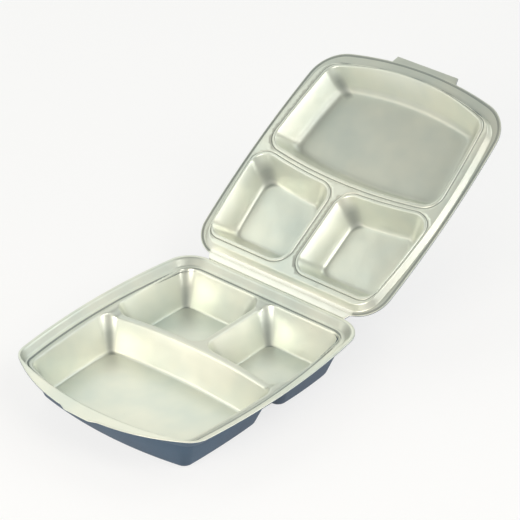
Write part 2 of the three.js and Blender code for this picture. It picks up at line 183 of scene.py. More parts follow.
# 3t^2 - 2t^3 between 0 and 1, and level outside
def smooth(t):
    t = np.clip(t, 0, 1)
    return t * t * (3 - 2 * t)


# distance from each point to the nearest of the others
def nearestGap(points, others):
    far = points[:, None, :] - others[None, :, :]
    return np.sqrt((far ** 2).sum(2)).min(1)


# true where a line from the point towards +x crosses the loop an odd number of times
def insideLoop(points, loop):
    x, y = points[:, 0][:, None], points[:, 1][:, None]
    ax, ay = loop[:, 0], loop[:, 1]
    bx, by = np.roll(ax, -1), np.roll(ay, -1)
    crosses = (ay > y) != (by > y)
    at = ax + (y - ay) / np.where(by == ay, 1e-12, by - ay) * (bx - ax)
    return ((x < at) & crosses).sum(1) % 2 == 1


# inside the first loop and outside all the rest
def betweenLoops(points, loops):
    keep = insideLoop(points, loops[0])
    for loop in loops[1:]:
        keep &= ~insideLoop(points, loop)
    return keep


joinDistance, leastArea = 1e-6, 1e-7  # of the points and triangles of a fill


# A tray's upper skin is built from runs of rows and a fill between their ends. Points are numbered as
# they are added, and each face is a list of those numbers. Every point keeps the sheet's thickness
# there and the shade or light painted into its colour there.
class Skin:
    def __init__(self):
        self.points, self.sheet, self.drawn, self.quads, self.triangles = [], [], [], [], []
        self.count = 0

    def addPoints(self, points, sheet, drawn=0.0):
        first = self.count
        self.points.append(points)
        self.sheet.append(np.broadcast_to(np.asarray(sheet, float), len(points)))
        self.drawn.append(np.broadcast_to(np.asarray(drawn, float), len(points)))
        self.count += len(points)
        return first + np.arange(len(points))

    # rows of equal length joined to each other by quads
    def addRows(self, rows, sheets, drawn):
        ids = [self.addPoints(*each) for each in zip(rows, sheets, drawn)]
        grid = np.array(ids)
        nextPoint = np.roll(grid, -1, 1)
        quads = np.stack([grid[:-1], nextPoint[:-1], nextPoint[1:], grid[1:]], 2)
        self.quads.append(quads.reshape(-1, 4))
        return ids

    # a fan of triangles from the last row to one point
    def closeWithPole(self, ids, point, sheet, drawn=0.0):
        pole = self.addPoints(point[None, :], sheet, drawn)[0]
        self.triangles.append(np.stack([ids, np.roll(ids, -1), np.full(len(ids), pole)], 1))

    # The level part between the outer loop and the loops round the hollows: a Delaunay triangulation of
    # the loops and of points on a triangular grid between them, at the height that the rule gives.
    def fill(self, outer, holes, spacing, clearance, height, sheet, drawn=0.0):
        allPoints = np.concatenate(self.points)
        loops = [allPoints[outer][:, :2]] + [allPoints[h][:, :2] for h in holes]
        low, high = loops[0].min(0), loops[0].max(0)
        across = np.arange(low[0], high[0], spacing)
        deep = np.arange(low[1], high[1], spacing * math.sqrt(3) / 2)
        gx, gv = np.meshgrid(across, deep)
        gx = gx + (np.arange(len(deep)) % 2)[:, None] * spacing / 2
        grid = np.stack([gx.ravel(), gv.ravel()], 1)
        grid = grid[betweenLoops(grid, loops)]
        grid = grid[nearestGap(grid, np.concatenate(loops)) > clearance]
        gridIds = self.addPoints(lift(grid, height(grid[:, 0], grid[:, 1])), sheet, drawn)
        ids = np.concatenate([outer, *holes, gridIds])
        flat = np.concatenate([*loops, grid])
        edges, start = [], 0
        for loop in loops:
            run = start + np.arange(len(loop))
            edges.append(np.stack([run, np.roll(run, -1)], 1))
            start += len(loop)
        flatPoints = [Vector(p) for p in flat.tolist()]
        made = delaunay_2d_cdt(flatPoints, np.concatenate(edges).tolist(), [], 0, joinDistance)
        source = np.array([o[0] if o else -1 for o in made[3]])
        faces = source[np.array(made[2])]
        faces = faces[(faces >= 0).all(1)]
        faces = faces[betweenLoops(flat[faces].mean(1), loops)]
        corners = flat[faces]
        e1, e2 = corners[:, 1] - corners[:, 0], corners[:, 2] - corners[:, 0]
        area = e1[:, 0] * e2[:, 1] - e1[:, 1] * e2[:, 0]
        faces[area < 0] = faces[area < 0][:, ::-1]
        self.triangles.append(ids[faces[np.abs(area) > leastArea]])


# a finished mesh as an object at the origin, shaded smooth and carrying its painted shading values
def placedPiece(name, mesh, drawn):
    mesh.polygons.foreach_set("use_smooth", np.ones(len(mesh.polygons), bool))
    layer = mesh.attributes.new("drawn", "FLOAT", "POINT")
    layer.data.foreach_set("value", drawn.astype(np.float32))
    piece = bpy.data.objects.new(name, mesh)
    bpy.context.scene.collection.objects.link(piece)
    print(f"{name}: {len(mesh.vertices)} points, {len(mesh.polygons)} faces")
    return piece


# Both skins of a tray as one closed mesh, placed in the frame. The lower skin is the upper one moved
# back along its normals by the sheet's thickness. The edge rows, the outermost one and its rounding,
# are reflected in mid-sheet instead.
def closedTray(name, skin, edgeRows, edgeSheet, place):
    upper = np.concatenate(skin.points)
    sheet, drawn = np.concatenate(skin.sheet), np.concatenate(skin.drawn)
    quads, triangles = np.concatenate(skin.quads), np.concatenate(skin.triangles)
    split = np.concatenate([quads[:, [0, 1, 2]], quads[:, [0, 2, 3]], triangles])
    a, b, c = (upper[split[:, k]] for k in range(3))
    faceNormal = np.cross(b - a, c - a)
    normal = np.zeros_like(upper)
    for k in range(3):
        np.add.at(normal, split[:, k], faceNormal)
    normal /= np.linalg.norm(normal, axis=1)[:, None] + 1e-12
    lower = upper - normal * sheet[:, None]
    for ids in edgeRows:
        lower[ids] = upper[ids] * (1, 1, -1) - (0, 0, edgeSheet)
    count = len(upper)
    number = count + np.arange(count)
    number[edgeRows[0]] = edgeRows[0]  # the two skins share the outermost row
    allQuads = np.concatenate([quads, number[quads][:, ::-1]])
    allTriangles = np.concatenate([triangles, number[triangles][:, ::-1]])
    used = np.zeros(2 * count, bool)
    used[allQuads.ravel()] = True
    used[allTriangles.ravel()] = True
    renumber = np.cumsum(used) - 1
    turn = np.array(place, float)
    points = np.concatenate([upper, lower])[used] * mm @ turn[:3, :3].T + turn[:3, 3]
    loops = np.concatenate([renumber[allQuads].ravel(), renumber[allTriangles].ravel()])
    starts = np.concatenate([np.arange(len(allQuads)) * 4,
                             len(allQuads) * 4 + np.arange(len(allTriangles)) * 3])
    under = np.concatenate([np.arange(len(allQuads)) >= len(quads),
                            np.arange(len(allTriangles)) >= len(triangles)])
    mesh = bpy.data.meshes.new(name)
    mesh.vertices.add(len(points))
    mesh.vertices.foreach_set("co", points.astype(np.float32).ravel())
    mesh.loops.add(len(loops))
    mesh.loops.foreach_set("vertex_index", loops.astype(np.int32))
    mesh.polygons.add(len(starts))
    mesh.polygons.foreach_set("loop_start", starts.astype(np.int32))
    mesh.polygons.foreach_set("material_index", under.astype(np.int32))
    mesh.update(calc_edges=True)
    mesh.validate()
    # the lower skin carries the same painted shade and light as the upper one
    return placedPiece(name, mesh, np.concatenate([drawn, drawn])[used])


pushReach = 45  # points further than this from the new edge stay
tabSteps = np.linspace(-0.5, 1.3, 12)  # along a tab's slope, from before its start to past its end
tabLimit = 0.497  # no step lies further than this share of the side from its middle


# Points by the edge are pushed out to a straight line, over the width of a tab or a strip:
# v + s * (edge - v) where that is outward, with s running smoothly from 1 to 0 over the slope.
def pushedOut(points, tab, outward):
    halfWidth, slope, edge = tab
    share = smooth((halfWidth + slope - np.abs(points[:, 0])) / slope)
    share = np.where(np.abs(points[:, 1] - edge) < pushReach, share, 0)
    moved = points.copy()
    moved[:, 1] += share * outward * np.maximum(0, outward * (edge - points[:, 1]))
    return moved


# Steps along a tray's four sides: equal ones, and on the front some more where the tab's slopes are.
def sideShares(tray):
    rear, side, front = tray["sideSteps"]
    halfWidth, slope, _ = tray["tab"]
    ends = np.minimum((halfWidth + slope * tabSteps) / (2 * tray["lip"]["frontHalf"]), tabLimit)
    frontShares = np.unique(np.round(np.concatenate([evenShares(front), 0.5 - ends, 0.5 + ends]), 4))
    return [evenShares(rear), evenShares(side), frontShares, evenShares(side)]


# distance from a straight line down to the arc of a circle, x from its top: x^2 / (2 radius)
def arcRise(x, radius):
    return x * x / (2 * radius)


# the large hollow in plan: its rear edge follows the divider's arc and its front edge bows
def largeShape(tray, size, radius):
    rise = arcRise(size["rearHalf"], size["arc"])
    return evenShape(size["rearHalf"], size["frontHalf"], size["rear"] + rise,
                     size["front"] - size["frontBow"], rise, tray["sideBow"], size["frontBow"],
                     (radius, radius))


# A small hollow in plan: straight along the ridge, and its front edge follows the divider's arc. The
# one on side -1 is the mirror image.
def smallShape(tray, size, radius, side):
    arc = tray["arcRadius"]
    inner, half = size["inner"], size["frontHalf"]
    corners = np.array([(inner, size["rear"]), (size["rearHalf"], size["rear"]),
                        (half, size["front"] + arcRise(half, arc)),
                        (inner, size["front"] + arcRise(inner, arc))])
    bows = (0, tray["sideBow"], -arcRise((half - inner) / 2, arc), 0)
    if side < 0:
        corners = corners[[1, 0, 3, 2]] * (-1, 1)
        bows = (bows[0], bows[3], bows[2], bows[1])
    return {"corners": corners, "bows": bows, "radii": (radius,) * 4}


# The runs of the three hollows: edge, floor, the step that leads 1 mm outward from the edge, and
# cornerness.
def cupOutlines(tray):
    sideSteps, cornerSteps = tray["cup"]["sideSteps"], tray["cup"]["cornerSteps"]
    shares = [evenShares(sideSteps)] * 4
    edgeRadius, floorRadius = tray["edgeRadius"], tray["floorRadius"]
    shapes = [(largeShape(tray, tray["largeEdge"], edgeRadius),
               largeShape(tray, tray["largeFloor"], floorRadius))]
    for side in (1, -1):
        shapes.append((smallShape(tray, tray["smallEdge"], edgeRadius, side),
                       smallShape(tray, tray["smallFloor"], floorRadius, side)))
    runs = []
    for edge, floor in shapes:
        edgeRun, cornerness = outline(edge, shares, cornerSteps)
        floorRun, _ = outline(floor, shares, cornerSteps)
        grown, _ = outline(insetShape(edge, (-1, -1, -1, -1), -1), shares, cornerSteps)
        runs.append((edgeRun, floorRun, grown - edgeRun, cornerness))
    return runs


# One hollow: from the ledge over a rounded shoulder, down the drafted wall, round the fillet and over
# the floor to its middle, which rises by crown * (1 - s^2)^2. Shade is painted into its corners, more
# and more down the wall, and not on the floor.
def cupRows(top, out, floor, cup, height, bottom, cornerness):
    start, centre = top + out, floor.mean(0)
    stations = [lift(start, height(start[:, 0], start[:, 1])), lift(top, height(top[:, 0], top[:, 1])),
                lift(floor, bottom), lift(centre + (floor - centre) * cup["floorEdge"], bottom)]
    width = np.linalg.norm(out, axis=1)[:, None]
    trims = [(width * cup["shoulderTrim"], cup["shoulder"]), (cup["fillet"], cup["fillet"])]
    rows = roundedRows(stations, trims, cup["steps"])
    wallFrom = cup["steps"] + 1
    wall = between(rows[wallFrom], rows[wallFrom + 1], cup["wallRows"])
    rows = rows[:wallFrom + 1] + wall + rows[wallFrom + 1:]
    for s in np.linspace(1, 0, cup["floorRings"] + 1)[1:-1]:
        inner = centre + (stations[3][:, :2] - centre) * s
        rows.append(lift(inner, bottom + cup["crown"] * (1 - s * s) ** 2))
    rim, deepest = height(top[:, 0], top[:, 1]), height(0, 0) - bottom
    depth = [np.clip((rim - row[:, 2]) / deepest, 0, 1) for row in rows]
    # painted shade in the cup's corners, deeper down the wall; none on the floor
    drawn = [cornerness * smooth(d * cup["cornerShadeRate"]) for d in depth]
    drawn[-cup["floorRings"]:] = [np.zeros(len(top))] * cup["floorRings"]
    pole = np.array([*centre, bottom + cup["crown"]])
    return rows, drawn, pole


# base tray: h up from the lip
baseTray = {
    "sheet": 1.8, "cupSheet": 2.8, "thickenOver": 12,  # the cups' thickness is reached this far down
    "lip": dict(rearHalf=95.7, frontHalf=98.7, rear=0.3, front=209.9, rearBow=0, sideBow=8.79,
                frontBow=31.8, radii=(25.2, 20)),
    "rim": dict(rearHalf=92.7, frontHalf=95.7, rear=3.3, front=212.5, rearBow=0, sideBow=8.8,
                frontBow=16.5, radii=(22.2, 18)),
    # painted shade on the rim's corners and on the ledge, and the shoulder rows that the ledge's shade
    # fades over
    "rimDraft": (5, 4, 1.5, 4), "rimDepth": 5.7, "rimShade": 0.5, "ledgeShade": 0.3, "shadeRows": 3,
    # the groove in the ledge along the rim's foot: insets of its start, middle and end
    "groove": ((2.2, 2.8, 0.2, 2.8), (3.2, 3.9, 0.5, 3.9), (4.1, 4.9, 0.8, 4.9)),
    # the groove's cut radius and depth, and its painted shade row by row down into it, along its bottom
    # and out
    "grooveRadiusCut": 2, "grooveDepth": 1.1, "grooveTones": (0.1, 0.3, 0.6, 0.8, 1.0, 0.8),
    "trims": ((0.8, 0.8), (1.6, 1.6), (0.9, 0.5), (0.3, 0.3), (0.4, 0.4)), "profileSteps": 4,
    # how many rows take each painted shade tone:
    "toneRows": (8, 8, 1, 1, 1, 1, 5, 1, 1),  # lip, rim wall, the groove's six tones, ledge
    "sideSteps": (50, 56, 70), "cornerSteps": 18,
    "tab": (11, 9.5, 243.7),  # half width, length of its slopes, place of its edge
    "largeEdge": dict(rearHalf=90.8, frontHalf=83.8, rear=100.2, front=225.5, frontBow=16.5, arc=425),
    "largeFloor": dict(rearHalf=78.3, frontHalf=76.3, rear=116.5, front=208.8, frontBow=8, arc=650),
    "smallEdge": dict(inner=0.9, rearHalf=87, frontHalf=90.7, rear=14, front=97.7),
    "smallFloor": dict(inner=16.2, rearHalf=77, frontHalf=77.9, rear=27.4, front=82.7),
    "arcRadius": 425, "sideBow": 1.2, "edgeRadius": 13, "floorRadius": 5.5, "floor": -36.2,
    "dip": 3.3, "dipHalf": 88.5, "dipClimb": 8, "dipRear": 15.5, "dipFront": 13, "dipRounds": 6,
    # a shoulder's width, and the shares of the gaps to another cup and to the groove that it may take
    "shoulderWidth": 2.3, "ridgeShare": 0.44, "grooveShare": 0.7,
    "cup": dict(shoulder=2.3, shoulderTrim=0.95, fillet=2.8, floorEdge=0.94, steps=6, wallRows=3,
                floorRings=7, crown=0.35, cornerShadeRate=1.6, sideSteps=34, cornerSteps=14),
    "fill": (2.6, 0.9),  # spacing of the points in the ledge, and their distance from the rows
}


# The ledge is level, and dips over the divider and the ridge: depth = dip * s(x) * s(rear) * s(front),
# with s running smoothly from 0 to 1 over the climb.
def ledgeHeight(tray):
    def height(x, v):
        x, v = np.asarray(x, float), np.asarray(v, float)
        acrossShare = smooth((tray["dipHalf"] - np.abs(x)) / tray["dipClimb"])
        rearShare = smooth((v - tray["dipRear"]) / tray["dipClimb"])
        divider = tray["largeEdge"]["rear"] + arcRise(x, tray["arcRadius"]) + tray["dipFront"]
        frontShare = smooth((divider - v) / tray["dipClimb"])
        return -tray["rimDepth"] - tray["dip"] * acrossShare * rearShare * frontShare
    return height


# A cup's edge slides down its wall until it is as low as the ledge there: share of the wall = dip at
# the edge over the wall's depth, tried again from each new place.
def dippedEdge(edgeRun, floorRun, tray, height):
    top, depth = edgeRun.copy(), tray["rimDepth"]
    for _ in range(tray["dipRounds"]):
        share = (-depth - height(top[:, 0], top[:, 1])) / (-depth - tray["floor"])
        top = edgeRun + (floorRun - edgeRun) * share[:, None]
    return top


# Lip, rim wall and the groove at its foot, then the ledge, then the cups. A cup's shoulder takes its
# width, or less where another cup or the groove is near.
def makeBase():
    tray, skin = baseTray, Skin()
    sheet, depth, shade = tray["sheet"], tray["rimDepth"], tray["ledgeShade"]
    lip, rim = evenShape(**tray["lip"]), evenShape(**tray["rim"])
    foot = insetShape(rim, tray["rimDraft"], tray["rimDraft"][1])
    grooves = [insetShape(foot, insets, tray["grooveRadiusCut"]) for insets in tray["groove"]]
    shares = sideShares(tray)
    lipRun, rimRun, footRun, startRun, middleRun, grooveRun = (
        outline(shape, shares, tray["cornerSteps"])[0] for shape in (lip, rim, foot, *grooves))
    # painted shade on the rim wall's corners
    rimCornerShade = outline(rim, shares, tray["cornerSteps"])[1] * tray["rimShade"]
    lipRun = pushedOut(lipRun, tray["tab"], 1)
    stations = [lift(lipRun, -sheet / 2), lift(lipRun, 0), lift(rimRun, 0), lift(footRun, -depth),
                lift(startRun, -depth), lift(middleRun, -depth - tray["grooveDepth"]),
                lift(grooveRun, -depth)]
    rows = roundedRows(stations, tray["trims"], tray["profileSteps"])
    # painted shade row by row: none on the lip, then the rim's corners, the groove and the ledge
    tones = rowTones(tray["toneRows"], (0.0, rimCornerShade, *tray["grooveTones"], shade))
    ids = skin.addRows(rows, [sheet] * len(rows), tones)

    height = ledgeHeight(tray)
    cups = cupOutlines(tray)
    tops = [dippedEdge(edgeRun, floorRun, tray, height) for edgeRun, floorRun, _, _ in cups]
    holes = []
    for k, (_, floorRun, out, cornerness) in enumerate(cups):
        others = np.concatenate([top for j, top in enumerate(tops) if j != k])
        room = np.minimum(nearestGap(tops[k], others) * tray["ridgeShare"],
                          nearestGap(tops[k], grooveRun) * tray["grooveShare"])
        width = np.minimum(tray["shoulderWidth"], room)[:, None]
        rows, drawn, pole = cupRows(tops[k], out * width, floorRun, tray["cup"], height, tray["floor"],
                                    cornerness)
        # the ledge's shade dies away over the shoulder's first rows
        drawn = [np.maximum(d, shade * (1 - i / tray["shadeRows"])) for i, d in enumerate(drawn)]
        down = [np.clip((-depth - row[:, 2]) / tray["thickenOver"], 0, 1) for row in rows]
        sheets = [sheet + (tray["cupSheet"] - sheet) * smooth(s) for s in down]
        cupIds = skin.addRows(rows, sheets, drawn)
        skin.closeWithPole(cupIds[-1], pole, tray["cupSheet"])
        holes.append(cupIds[0])
    skin.fill(ids[-1], holes, *tray["fill"], height, sheet, shade)
    place = Matrix.Translation((0, creaseY, lipZ)) @ Matrix.Rotation(math.pi, 4, "Z")
    return closedTray("base_foam", skin, ids[:tray["profileSteps"] + 2], sheet, place)


# lid tray: h up from the flange, so the plinth stands above it and the hollows go below
lidTray = {
    "sheet": 1.7, "plinth": 5,
    "lip": dict(rearHalf=98.9, frontHalf=99.8, rear=4.5, front=223.2, rearBow=0, sideBow=5.5,
                frontBow=15.9, radii=(29.2, 34.9)),
    "foot": dict(rearHalf=90.9, frontHalf=93.9, rear=8.9, front=211.7, rearBow=0, sideBow=8.8,
                 frontBow=16.5, radii=(20, 24)),
    "plinthDraft": (4, 3, 1.3, 3), "plinthInside": (1.1, 1.1, 0.3, 1.1), "insideRadiusCut": 1,
    "line": (0.8, 1.8, 2.8), "lineDepth": 0.35,  # pressed along the flange's edge: insets and depth
    "trims": ((0.5, 0.5), (0.2, 0.2), (0.3, 0.3), (0.3, 0.3), (1.0, 1.0), (1.2, 0.6)), "profileSteps": 4,
    # how many rows take each painted shade tone:
    "toneRows": (9, 9, 5, 1, 4, 4),  # flange, its pressed line, flange, the plinth's foot, slope and top
    "sideSteps": (60, 56, 76), "cornerSteps": 18,
    "tab": (32.5, 1.6, 243.6),  # half width, length of its slopes, place of its edge
    "strip": (74.5, 3.0, 0.3),  # the same of the strip along the crease
    "pressed": (12, 79, 3),  # painted light, up to this far from the crease, half width, fade
    # painted shade on the flange, and on the plinth's slope from this far from the crease on
    "flangeShade": 0.35, "slopeShade": 0.3, "slopeFrom": 12, "slopeFade": 12,
    # painted shade on the cups' floors,
    "floorShade": (0.38, 0.0, 0.05),  # of the large cup, the small right one and the small left one
    "floorFrom": 14, "floorFade": 7,  # the depth where that starts, and how soon it is full
    # painted shade at the cups' corners:
    "cornerShade": (0.08, 0.4, 1.0), "cornerFade": 20,  # near the crease, far right, far left
    "thinShare": 0.42, "thinRate": 0.9, "thinnest": 0.4,  # of the sheet by the plinth's side
    "largeEdge": dict(rearHalf=89.5, frontHalf=82.5, rear=112.3, front=225.3, frontBow=16.5, arc=450),
    "largeFloor": dict(rearHalf=78, frontHalf=71, rear=124.8, front=210.3, frontBow=7.5, arc=450),
    "smallEdge": dict(inner=6, rearHalf=88.2, frontHalf=94.1, rear=21, front=102.2),
    "smallFloor": dict(inner=18.5, rearHalf=76.7, frontHalf=82.6, rear=33, front=89.7),
    "arcRadius": 450, "sideBow": 1.0, "edgeRadius": 14, "floorRadius": 9, "floor": -17,
    # the bead round each cup: width, the share of the room that it may take, places up its flank as
    # shares of its width, height of its crest, depth of its foot
    "bead": 3.6, "beadRoom": 0.8, "beadFlank": (0.88, 0.62, 0.42), "beadHeight": 0.6, "beadFoot": 0.6,
    "beadTrims": ((0.5, 0.5), (0.4, 0.4)), "beadSteps": 3, "beadToneRows": (1, 4, 4),
    "cup": dict(shoulder=1.3, shoulderTrim=0.95, fillet=7.5, floorEdge=0.86, steps=7, wallRows=3,
                floorRings=7, crown=0.3, cornerShadeRate=1.6, sideSteps=34, cornerSteps=14),
    "fill": (2.8, 0.9),  # spacing of the points in the plinth's top, and their distance from the rows
}


# The lid's sheet is thinner where a cup comes near the plinth's side or another cup: share * (gap +
# rate * depth), between the thinnest and the full sheet.
def thinnedSheets(tray, rows, gap):
    below = [np.maximum(0, tray["plinth"] - row[:, 2]) for row in rows]
    return [np.clip(tray["thinShare"] * (gap + tray["thinRate"] * depth), tray["thinnest"], tray["sheet"])
            for depth in below]


# Shade is painted into a cup's corners by different shares: the one near the crease, and smoothly
# from it to the far ones, right and left.
def cornerTones(tray, edgeRun, cornerness):
    near, right, left = tray["cornerShade"]
    x, v = (edgeRun - edgeRun.mean(0)).T / tray["cornerFade"]
    return cornerness * (near + smooth(v) * (right - near + (left - right) * smooth(-x)))


# The outer flank of a bead: a foot pressed into the plinth, then up to the crest, at shares of the
# bead's width outward from the cup's edge.
def beadRows(tray, edgeRun, step):
    footAt, crestAt, endAt = tray["beadFlank"]
    plinth, crest = tray["plinth"], tray["plinth"] + tray["beadHeight"]
    stations = [lift(edgeRun + step, plinth), lift(edgeRun + step * footAt, plinth - tray["beadFoot"]),
                lift(edgeRun + step * crestAt, crest), lift(edgeRun + step * endAt, crest)]
    return roundedRows(stations, tray["beadTrims"], tray["beadSteps"])


# Flange with its pressed line, the plinth's slope and top, then the cups, each inside a bead. The
# strip by the crease and the plinth's near slope get painted light, a paler tone: tone * (1 - p) - p.
def makeLid():
    tray, skin = lidTray, Skin()
    sheet, plinth, shade = tray["sheet"], tray["plinth"], tray["flangeShade"]
    lip, foot = evenShape(**tray["lip"]), evenShape(**tray["foot"])
    lines = [insetShape(lip, (d,) * 4, d) for d in tray["line"]]
    top = insetShape(foot, tray["plinthDraft"], tray["plinthDraft"][1])
    inside = insetShape(top, tray["plinthInside"], tray["insideRadiusCut"])
    shares = sideShares(tray)
    lipRun, startRun, middleRun, endRun, footRun, topRun, insideRun = (
        outline(shape, shares, tray["cornerSteps"])[0] for shape in (lip, *lines, foot, top, inside))
    lipRun = pushedOut(pushedOut(lipRun, tray["tab"], 1), tray["strip"], -1)
    stations = [lift(lipRun, -sheet / 2), lift(lipRun, 0), lift(startRun, 0),
                lift(middleRun, -tray["lineDepth"]), lift(endRun, 0), lift(footRun, 0),
                lift(topRun, plinth), lift(insideRun, plinth)]
    rows = roundedRows(stations, tray["trims"], tray["profileSteps"])
    # painted shade: on the flange, full in its pressed line, and on the plinth's slope away from the
    # crease
    slope = tray["slopeShade"] * smooth((footRun[:, 1] - tray["slopeFrom"]) / tray["slopeFade"])
    tones = rowTones(tray["toneRows"], (shade, 1.0, shade, 0.0, slope, 0.0))
    # painted light near the crease: the tone turns paler there
    deep, half, fade = tray["pressed"]
    for i, row in enumerate(rows):
        pressed = smooth((deep - row[:, 1]) / fade) * smooth((half - np.abs(row[:, 0])) / fade)
        tones[i] = tones[i] * (1 - pressed) - pressed
    cups = cupOutlines(tray)
    edges = [edgeRun for edgeRun, _, _, _ in cups]
    ids = skin.addRows(rows, thinnedSheets(tray, rows, nearestGap(topRun, np.concatenate(edges))), tones)

    # the plinth's top, and the crests of the beads on it
    def level(x, v):
        return np.full(np.shape(x), plinth, float)

    def raised(x, v):
        return level(x, v) + tray["beadHeight"]

    holes = []
    for k, (edgeRun, floorRun, out, cornerness) in enumerate(cups):
        step = out * np.minimum(tray["bead"], nearestGap(edgeRun, insideRun) * tray["beadRoom"])[:, None]
        rows, drawn, pole = cupRows(edgeRun, step * tray["beadFlank"][2], floorRun, tray["cup"], raised,
                                    tray["floor"], cornerTones(tray, edgeRun, cornerness))
        rows = beadRows(tray, edgeRun, step)[:-1] + rows
        # painted shade in the crease at each bead's foot
        drawn = rowTones(tray["beadToneRows"], (0.0, 1.0, 0.0)) + drawn
        for i, row in enumerate(rows):
            # painted shade on the floor, from this depth down
            deepShare = smooth((plinth - row[:, 2] - tray["floorFrom"]) / tray["floorFade"])
            drawn[i] = np.maximum(drawn[i], tray["floorShade"][k] * deepShare)
        others = np.concatenate([edge for j, edge in enumerate(edges) if j != k] + [topRun])
        cupIds = skin.addRows(rows, thinnedSheets(tray, rows, nearestGap(edgeRun, others)), drawn)
        skin.closeWithPole(cupIds[-1], pole, sheet, tray["floorShade"][k])
        holes.append(cupIds[0])
    skin.fill(ids[-1], holes, *tray["fill"], level, sheet)
    place = Matrix.Translation((0, creaseY, creaseZ)) @ Matrix.Rotation(openAngle, 4, "X")
    return closedTray("lid_foam", skin, ids[:tray["profileSteps"] + 2], sheet, place)


baseFoam = makeBase()
lidFoam = makeLid()

# the web takes painted shade at a fixed strength, for the gap between the trays
creaseWeb = {"half": 74, "thick": 0.8, "steps": 60, "drawn": 0.3,
             # distance from the crease and height, in the base's plane and then in the lid's
             "basePart": ((2.2, -0.95), (1.2, -0.85), (0.5, -0.6), (0.15, -0.55)),
             "lidPart": ((0.15, -0.5), (0.5, -0.55), (1.2, -0.8), (2.2, -0.9))}


# The web's profile carried straight along the crease: upper line, then the lower one a thickness
# below it, square to the line's direction.
def makeWeb():
    web = creaseWeb
    base, lid = np.array(web["basePart"]), np.array(web["lidPart"])
    c, s = math.cos(openAngle), math.sin(openAngle)
    baseLine = np.stack([creaseY - base[:, 0] * mm, lipZ + base[:, 1] * mm], 1)
    lidLine = np.stack([creaseY + (lid[:, 0] * c - lid[:, 1] * s) * mm,
                        creaseZ + (lid[:, 0] * s + lid[:, 1] * c) * mm], 1)
    upper = np.concatenate([baseLine, lidLine])
    t = np.gradient(upper, axis=0)
    t /= np.linalg.norm(t, axis=1)[:, None]
    lower = upper + np.stack([t[:, 1], -t[:, 0]], 1) * web["thick"] * mm
    ring = np.concatenate([upper, lower[::-1]])
    across = np.linspace(-web["half"], web["half"], web["steps"] + 1) * mm
    n, m = len(ring), len(across)
    points = np.empty((m, n, 3))
    points[:, :, 0] = across[:, None]
    points[:, :, 1:] = ring[None]
    grid = np.arange(m * n).reshape(m, n)
    nextPoint = np.roll(grid, -1, 1)
    quads = np.stack([grid[:-1], grid[1:], nextPoint[1:], nextPoint[:-1]], 2).reshape(-1, 4)
    k = np.arange(n // 2 - 1)
    first, last = (np.stack([ends[k], ends[k + 1], ends[n - 2 - k], ends[n - 1 - k]], 1)
                   for ends in (grid[0], grid[-1]))
    faces = np.concatenate([quads, first, last[:, ::-1]])
    mesh = bpy.data.meshes.new("hinge_web")
    mesh.from_pydata(points.reshape(-1, 3).tolist(), [], faces.tolist())
    mesh.validate()
    mesh.update()
    return placedPiece("hinge_web", mesh, np.full(m * n, web["drawn"]))


hingeWeb = makeWeb()

# colours: "pale" and "deep" are the cloudy foam; the third is painted shade, multiplied in where shade
# is painted, and the fourth is painted light, the paler tone along the crease; both skins carry them
innerFinish = {"pale": (0.82, 0.84, 0.74), "deep": (0.68, 0.74, 0.68), "drawn": (0.44, 0.46, 0.48),
               "pressed": (0.95, 0.96, 0.88), "metallic": 0.55, "roughness": 0.30, "drawnMatt": 0.3,
               "cells": 0.08, "wobble": 0.10}
outerFinish = {"pale": (0.052, 0.10, 0.165), "deep": (0.034, 0.068, 0.12), "drawn": (0.85, 0.85, 0.85),
               "pressed": (0.20, 0.25, 0.33), "metallic": 0.0, "roughness": 0.5, "drawnMatt": 0.0,
               "cells": 0.25, "wobble": 0.06}
# scales are per metre, and depths in metres
foamTexture = {"cloud": dict(Scale=14.0, Detail=3.0, Roughness=0.55), "deepAt": 0.34, "paleAt": 0.62,
               "grain": dict(Scale=900.0, Detail=2.0), "smoother": 0.05, "rougher": 0.07,
               "waves": dict(Scale=38.0, Detail=1.0), "waveDepth": 0.004,
               "cells": dict(Scale=420.0), "cellDepth": 0.0002}


# a shader node with these values on its sockets, or as its own settings where no socket has the name
def node(tree, kind, **values):
    made = tree.nodes.new(kind)
    for key, value in values.items():
        if key in made.inputs:
            made.inputs[key].default_value = value
        else:
            setattr(made, key, value)
    return made
